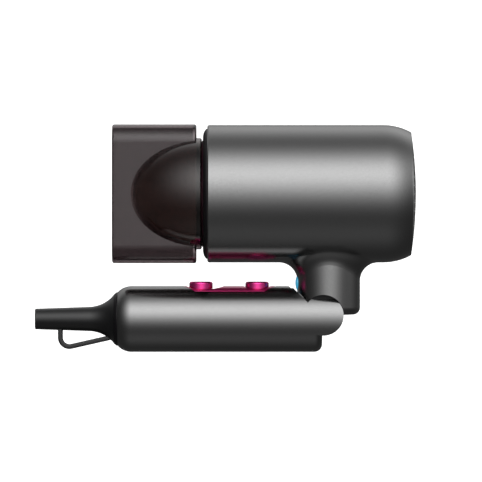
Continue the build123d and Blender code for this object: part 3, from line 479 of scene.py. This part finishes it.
# %% [markdown]
# ### Heating wire
#
# 0.36 mm nichrome is wound to a 1.3 mm coil, and the coil takes eight turns round the mica cross. The
# tree grows it round the X axis, which is the dryer's own axis, so it only has to be moved there.

# %% Heating wire on its cross
AXIS_Z = 87.4 * MM
first_turn = Matrix.Translation((1.0 * MM, 0, AXIS_Z))
heating_wire = grow("heating_wire", COILED_WIRE, NICHROME, first_turn, HEATER)
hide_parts("heating_coil")
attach(heating_wire, "head")

# %% [markdown]
# ### Springs
#
# A compression spring returns the round button, and a smaller one pushes the detent ball into its
# dimples in the hinge. The same tree makes both, turned upright and across. The button's spring gets
# shorter as the button goes down, but here it is grown at one length and given a mesh of its own.

# %% Spring under the round button
BUTTON_SPRING = HEATER | {
    "Turns": 5.5, "Pitch": 1.03 * MM, "Ring Radius": 3.6 * MM, "Coil Radius": 0.0,
    "Coils Per Turn": 0.0, "Wire Radius": 0.35 * MM, "Points": 270,
}
upright = Matrix.Translation((17.5 * MM, 0, 23.9 * MM)) @ Matrix.Rotation(math.radians(-90), 4, "Y")
button_spring = grow("button_spring", COILED_WIRE, STEEL, upright, BUTTON_SPRING)
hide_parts("temp_spring")
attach(button_spring, "handle")
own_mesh(button_spring)

# %% Spring behind the detent ball
BALL_SPRING = BUTTON_SPRING | {
    "Turns": 6.0, "Pitch": 0.75 * MM, "Ring Radius": 1.15 * MM, "Wire Radius": 0.22 * MM, "Points": 220,
}
across = Matrix.Translation((57.9 * MM, 6.4 * MM, 26.7 * MM)) @ Matrix.Rotation(math.radians(90), 4, "Z")
ball_spring = grow("ball_spring", COILED_WIRE, STEEL, across, BALL_SPRING)
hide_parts("detent_spring")
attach(ball_spring, "head")

# %% [markdown]
# ## Motor windings
#
# Each of the motor's six teeth carries a coil of enamelled copper wire in two layers. One long wire
# could be led round every tooth, but nobody sees where it crosses over. So the tree bends one rounded
# rectangle, stacks copies of it outwards along the tooth, adds a second layer outside the first, and
# copies the whole coil round the motor's axis.

# %% Sizes of the windings, in metres
WINDINGS = {
    "Teeth": 6, "Rows": 5, "Row Step": 0.42 * MM, "Length": 13.5 * MM, "Width": 3.64 * MM,
    "Layer Step": 0.88 * MM, "Wire Radius": 0.2 * MM, "First Row": 7.33 * MM,
}
LAYERS_OF_WIRE = (0.0, 1.0)
CORNER = 0.7 * MM
print("turns of wire on a tooth:", WINDINGS["Rows"] * len(LAYERS_OF_WIRE))


# %% Windings on the teeth
def windings():
    tree, given = wire_tree("windings", WINDINGS)
    step = given["Layer Step"]
    layers = add(tree, "GeometryNodeJoinGeometry")
    for layer in LAYERS_OF_WIRE:
        values = {0: step, 1: layer, 2: given["Length"]}
        length = add(tree, MATHS, values, operation="MULTIPLY_ADD").outputs[0]
        values = {0: step, 1: layer, 2: given["Width"]}
        width = add(tree, MATHS, values, operation="MULTIPLY_ADD").outputs[0]
        values = {"Width": length, "Height": width}
        loop = add(tree, "GeometryNodeCurvePrimitiveQuadrilateral", values).outputs[0]
        values = {"Curve": loop, "Radius": CORNER, "Count": 4}
        soft = add(tree, "GeometryNodeFilletCurve", values, mode="POLY").outputs[0]
        tree.links.new(drawn(tree, soft, given["Wire Radius"], 6), layers.inputs[0])
    start = add(tree, VECTOR, {"Z": given["First Row"]}).outputs[0]
    outwards = add(tree, VECTOR, {"Z": given["Row Step"]}).outputs[0]
    values = {"Count": given["Rows"], "Start Location": start, "Offset": outwards}
    rows = add(tree, "GeometryNodeMeshLine", values, mode="OFFSET").outputs[0]
    values = {"Points": rows, "Instance": layers.outputs[0]}
    coil = add(tree, "GeometryNodeInstanceOnPoints", values).outputs[0]
    values = {"Count": given["Teeth"], "Offset": (0, 0, 0)}
    spots = add(tree, "GeometryNodeMeshLine", values).outputs[0]
    index = add(tree, "GeometryNodeInputIndex").outputs[0]
    share = add(tree, MATHS, {0: index, 1: given["Teeth"]}, operation="DIVIDE").outputs[0]
    angle = add(tree, MATHS, {0: share, 1: 2 * math.pi}, operation="MULTIPLY").outputs[0]
    turned = add(tree, VECTOR, {"X": angle}).outputs[0]
    values = {"Points": spots, "Instance": coil, "Rotation": turned}
    motor = add(tree, "GeometryNodeInstanceOnPoints", values).outputs[0]
    end_tree(tree, motor, given["Material"])
    return tree


motor_middle = Matrix.Translation((59.5 * MM, 0, AXIS_Z))
motor_windings = grow("motor_windings", windings(), COPPER, motor_middle, WINDINGS)
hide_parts("stator_coils")
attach(motor_windings, "head")

# %% [markdown]
# ## Filter gauze
#
# The filter behind the intake cap is woven steel cloth in a stiff rim. An image with holes could stand
# in for cloth, but it would be flat at an angle. In a plain weave each wire passes over one and under the
# next, and its neighbour does the opposite. The tree makes full-length waved wires one way and then the
# other way, and cuts off what lies outside the round.

# %% Sizes of the gauze, in metres
GAUZE = {
    "Half Count": 31, "Spacing": 0.9 * MM, "Radius": 28.0 * MM, "Wire Radius": 0.1 * MM,
    "Rim Radius": 28.9 * MM, "Rim Width": 2.2 * MM, "Rim Height": 1.6 * MM,
}
POINTS_PER_STEP = 4.0
RIM_CORNER = 0.3 * MM
print("wires each way:", 2 * GAUZE["Half Count"] + 1)


# %% Straight wires, in rows
def straight_wires(tree, given):
    """Curves along X, one for each row, all Half Count x Spacing from the middle at their ends."""
    half, spacing = given["Half Count"], given["Spacing"]
    reach = add(tree, MATHS, {0: half, 1: spacing}, operation="MULTIPLY").outputs[0]
    low = add(tree, MATHS, {0: reach, 1: -1.0}, operation="MULTIPLY").outputs[0]
    values = {0: half, 1: POINTS_PER_STEP, 2: 1.0}
    points = add(tree, MATHS, values, operation="MULTIPLY_ADD").outputs[0]
    values = {0: half, 1: 2.0, 2: 1.0}
    count = add(tree, MATHS, values, operation="MULTIPLY_ADD").outputs[0]
    start = add(tree, VECTOR, {"X": low}).outputs[0]
    end = add(tree, VECTOR, {"X": reach}).outputs[0]
    line = add(tree, "GeometryNodeCurvePrimitiveLine", {"Start": start, "End": end}).outputs[0]
    fine = add(tree, "GeometryNodeResampleCurve", {"Curve": line, "Count": points}).outputs[0]
    first = add(tree, VECTOR, {"Y": low}).outputs[0]
    step = add(tree, VECTOR, {"Y": spacing}).outputs[0]
    values = {"Count": count, "Start Location": first, "Offset": step}
    rows = add(tree, "GeometryNodeMeshLine", values, mode="OFFSET").outputs[0]
    many = add(tree, "GeometryNodeInstanceOnPoints", {"Points": rows, "Instance": fine}).outputs[0]
    return add(tree, "GeometryNodeRealizeInstances", {"Geometry": many}).outputs[0]


print("each wire has", int(GAUZE["Half Count"] * POINTS_PER_STEP + 1), "points")


# %% Rim of the gauze
def gauze_rim(tree, given):
    values = {"Radius": given["Rim Radius"], "Resolution": 128}
    ring = add(tree, "GeometryNodeCurvePrimitiveCircle", values).outputs[0]
    values = {"Width": given["Rim Width"], "Height": given["Rim Height"]}
    section = add(tree, "GeometryNodeCurvePrimitiveQuadrilateral", values).outputs[0]
    values = {"Curve": section, "Radius": RIM_CORNER, "Count": 3}
    soft = add(tree, "GeometryNodeFilletCurve", values, mode="POLY").outputs[0]
    values = {"Curve": ring, "Profile Curve": soft}
    return add(tree, "GeometryNodeCurveToMesh", values).outputs[0]


print("rim is", GAUZE["Rim Width"], "by", GAUZE["Rim Height"])


# %% Woven gauze in its rim
def woven_gauze():
    """The wave is Wire Radius x cos(pi x / Spacing) x cos(pi y / Spacing), up one way, down the other."""
    tree, given = wire_tree("woven gauze", GAUZE)
    whole = add(tree, "GeometryNodeJoinGeometry")
    wires = straight_wires(tree, given)
    spot = add(tree, "GeometryNodeInputPosition").outputs[0]
    axes = add(tree, "ShaderNodeSeparateXYZ", {"Vector": spot}).outputs
    wave = given["Wire Radius"]
    for axis in "XY":
        steps = add(tree, MATHS, {0: axes[axis], 1: given["Spacing"]}, operation="DIVIDE").outputs[0]
        angle = add(tree, MATHS, {0: steps, 1: math.pi}, operation="MULTIPLY").outputs[0]
        cos = add(tree, MATHS, {0: angle}, operation="COSINE").outputs[0]
        wave = add(tree, MATHS, {0: wave, 1: cos}, operation="MULTIPLY").outputs[0]
    far = add(tree, "ShaderNodeVectorMath", {0: spot}, operation="LENGTH").outputs["Value"]
    outside = add(tree, MATHS, {0: far, 1: given["Radius"]}, operation="GREATER_THAN").outputs[0]
    for side, turn in ((1.0, 0.0), (-1.0, math.pi / 2)):
        height = add(tree, MATHS, {0: wave, 1: side}, operation="MULTIPLY").outputs[0]
        lift = add(tree, VECTOR, {"Z": height}).outputs[0]
        waved = add(tree, "GeometryNodeSetPosition", {"Geometry": wires, "Offset": lift}).outputs[0]
        values = {"Geometry": waved, "Selection": outside}
        cut = add(tree, "GeometryNodeDeleteGeometry", values).outputs[0]
        cloth = drawn(tree, cut, given["Wire Radius"], 4)
        values = {"Geometry": cloth, "Rotation": (0, 0, turn)}
        turned = add(tree, "GeometryNodeTransform", values).outputs[0]
        tree.links.new(turned, whole.inputs[0])
    tree.links.new(gauze_rim(tree, given), whole.inputs[0])
    end_tree(tree, whole.outputs[0], given["Material"])
    return tree


facing_back = Matrix.Translation((100.1 * MM, 0, AXIS_Z)) @ Matrix.Rotation(math.radians(90), 4, "Y")
gauze = grow("filter_gauze", woven_gauze(), STEEL, facing_back, GAUZE)
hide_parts("filter_mesh")
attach(gauze, "intake_cap")

# %% [markdown]
# ## Floor
#
# The dryer is shown on a pale floor that curves up into a wall all the way round. A plane would do for
# one view, but this gives every view the same clean background. It glows a little, so it stays evenly
# pale. It sends the dryer no light, shadow or mirror image, because the paint should show the soft lights
# in a dark room, as in a product studio. The handle opens downwards, so the floor lies as far below the
# folded dryer as the open handle reaches, and the dryer floats over it.

# %% Shape of the pale bowl
def bowl_floor(floor_r=4.0, bend=1.5, wall_top=9.0, around=96, steps=16):
    """A round floor that curves up into a wall all the way round. Lengths are in metres."""
    outline = [(0.35 * i, 0.0) for i in range(1, 12)]
    for i in range(steps + 1):
        a = i / steps * math.pi / 2
        outline.append((floor_r + bend * math.sin(a), bend * (1 - math.cos(a))))
    outline.append((floor_r + bend, wall_top))
    turn = [2 * math.pi * k / around for k in range(around)]
    verts = [(0.0, 0.0, 0.0)]
    for r, z in outline:
        verts += [(r * math.cos(t), r * math.sin(t), z) for t in turn]
    faces = [(0, 1 + k, 1 + (k + 1) % around) for k in range(around)]
    for row in range(len(outline) - 1):
        low, high = 1 + row * around, 1 + (row + 1) * around
        for k in range(around):
            n = (k + 1) % around
            faces.append((low + k, high + k, high + n, low + n))
    mesh = bpy.data.meshes.new("pale_bowl")
    mesh.from_pydata(verts, [], faces)
    mesh.shade_smooth()
    bowl = bpy.data.objects.new("pale_bowl", mesh)
    bpy.context.scene.collection.objects.link(bowl)
    print("bowl has", len(faces), "faces")
    return bowl


# %% Pale bowl in place
OPEN_HANDLE_REACH = 0.145
PAPER = clouded(
    "white background paper", ((3.0, 2.0), "e9e9e9", "ebebeb"), Roughness=1.0,
    Specular_IOR_Level=0.0, Emission_Color=linear("ffffff"), Emission_Strength=0.7,
)
FLOOR = bowl_floor()
FLOOR.location.z = -OPEN_HANDLE_REACH
FLOOR.data.materials.append(PAPER)
FLOOR.visible_glossy = False
FLOOR.visible_diffuse = False
FLOOR.visible_shadow = False
FLOOR.visible_transmission = False

# %% [markdown]
# ## Soft light
#
# The room around the dryer is dark, with large soft lights in it. Area lamps could do this, but their
# sharp edges show in the paint. Here each light is a round glow on the world, which falls off with the
# angle from its middle, as a big diffused soft box does. The key light is in front and above, one rim
# light is above and behind, a weak one stands at the right, one lies low in front, and two behind the
# dryer light its back.

# %% Where the soft lights are
def heading(azimuth, elevation):
    """The direction towards a light: azimuth 0 is the camera's side, 90 is the right."""
    a, e = math.radians(azimuth), math.radians(elevation)
    return (math.sin(a) * math.cos(e), -math.cos(a) * math.cos(e), math.sin(e))


FILL = 0.062
# Each light is (direction, width in degrees, brightness).
LIGHTS = [
    (heading(5, 33.5), 24, 2.75),
    (heading(85, 28), 18, 0.6),
    (heading(178, 47), 20, 0.74),
    (heading(0, -72), 19, 0.13),
    (heading(145, 36), 15, 0.5),
    (heading(225, 36), 15, 0.3),
]
print("soft lights:", len(LIGHTS))


# %% One soft light
def soft_light(tree, look, direction, width_deg, brightness):
    """brightness x exp((cos(angle) - 1) / width^2), which is close to a bell curve in the angle."""
    sharp = 1 / math.radians(width_deg) ** 2
    values = {0: look, 1: direction}
    cosine = add(tree, "ShaderNodeVectorMath", values, operation="DOT_PRODUCT").outputs["Value"]
    values = {0: cosine, 1: sharp, 2: -sharp}
    power = add(tree, MATHS, values, operation="MULTIPLY_ADD").outputs[0]
    fall = add(tree, MATHS, {0: power}, operation="EXPONENT").outputs[0]
    return add(tree, MATHS, {0: fall, 1: brightness}, operation="MULTIPLY").outputs[0]


HALF_BRIGHT = LIGHTS[0][1] * math.sqrt(2 * math.log(2))
print("the key light is half as bright", round(HALF_BRIGHT), "degrees from its middle")

# %% [markdown]
# ## What shows through the nozzle
#
# In a dark room a smoked nozzle would look black. A white card is often stood behind such a part, but a
# card would show in the paint too. So only rays that have passed through clear plastic see pale walls,
# with a dimmer floor and a dark ceiling, and the nozzle reads as clear from every side.

# %% Pale walls for the clear nozzle
# Each pair is the sine of the angle up at which the walls begin to change and end it.
CEILING = (0.22, 0.4)
GROUND = (-0.53, -0.31)
GROUND_GREY = 0.4


def pale_walls(tree, look):
    """White at eye level, dark overhead and grey below."""
    height = add(tree, "ShaderNodeSeparateXYZ", {"Vector": look}).outputs["Z"]
    values = {"Value": height, "From Min": CEILING[0], "From Max": CEILING[1], "To Min": 1.0, "To Max": 0.0}
    below_ceiling = add(tree, "ShaderNodeMapRange", values).outputs["Result"]
    values = {"Value": height, "From Min": GROUND[0], "From Max": GROUND[1], "To Min": GROUND_GREY}
    above_floor = add(tree, "ShaderNodeMapRange", values).outputs["Result"]
    wall = add(tree, MATHS, {0: below_ceiling, 1: above_floor}, operation="MULTIPLY").outputs[0]
    through = add(tree, "ShaderNodeLightPath").outputs["Is Transmission Ray"]
    return add(tree, MATHS, {0: wall, 1: through}, operation="MULTIPLY").outputs[0]


print("ceiling starts", round(math.degrees(math.asin(CEILING[0]))), "degrees up")


# %% The world
def lit_world():
    """The fill, the soft lights and the pale walls, added up as the world's brightness."""
    world = bpy.data.worlds.new("dark_room_soft_lights")
    world.use_nodes = True
    tree = world.node_tree
    look = add(tree, "ShaderNodeTexCoord").outputs["Generated"]
    glows = [soft_light(tree, look, *light) for light in LIGHTS]
    total = FILL
    for glow in glows + [pale_walls(tree, look)]:
        total = add(tree, MATHS, {0: glow, 1: total}, operation="ADD").outputs[0]
    background = tree.nodes["Background"]
    background.inputs["Color"].default_value = linear("ffffff")
    tree.links.new(total, background.inputs["Strength"])
    return world


bpy.context.scene.world = lit_world()
print("nodes in the world:", len(bpy.context.scene.world.node_tree.nodes))

# %% [markdown]
# ## Camera
#
# The dryer is seen square from its side. An orthographic camera would show no perspective at all, but
# a real lens always has a little: with a 400 mm lens, three metres away, the near side of the head looks
# two or three parts in a hundred bigger than its far side. The distance comes from the width to be shown.

# %% Camera
VIEW_WIDTH = 0.2664
LENS = 400
SENSOR = 36
camera_data = bpy.data.cameras.new("camera")
camera_data.lens = LENS
camera_data.sensor_width = SENSOR
camera_data.clip_end = 50
camera = bpy.data.objects.new("camera", camera_data)
camera.location = (0.0086, -VIEW_WIDTH * LENS / SENSOR, 0.0613)
camera.rotation_euler = (math.radians(90), 0, 0)
bpy.context.scene.collection.objects.link(camera)
bpy.context.scene.camera = camera
bpy.context.scene.view_settings.view_transform = "Standard"
bpy.context.scene.view_settings.look = "None"
print("camera distance in metres:", round(-camera.location.y, 2))
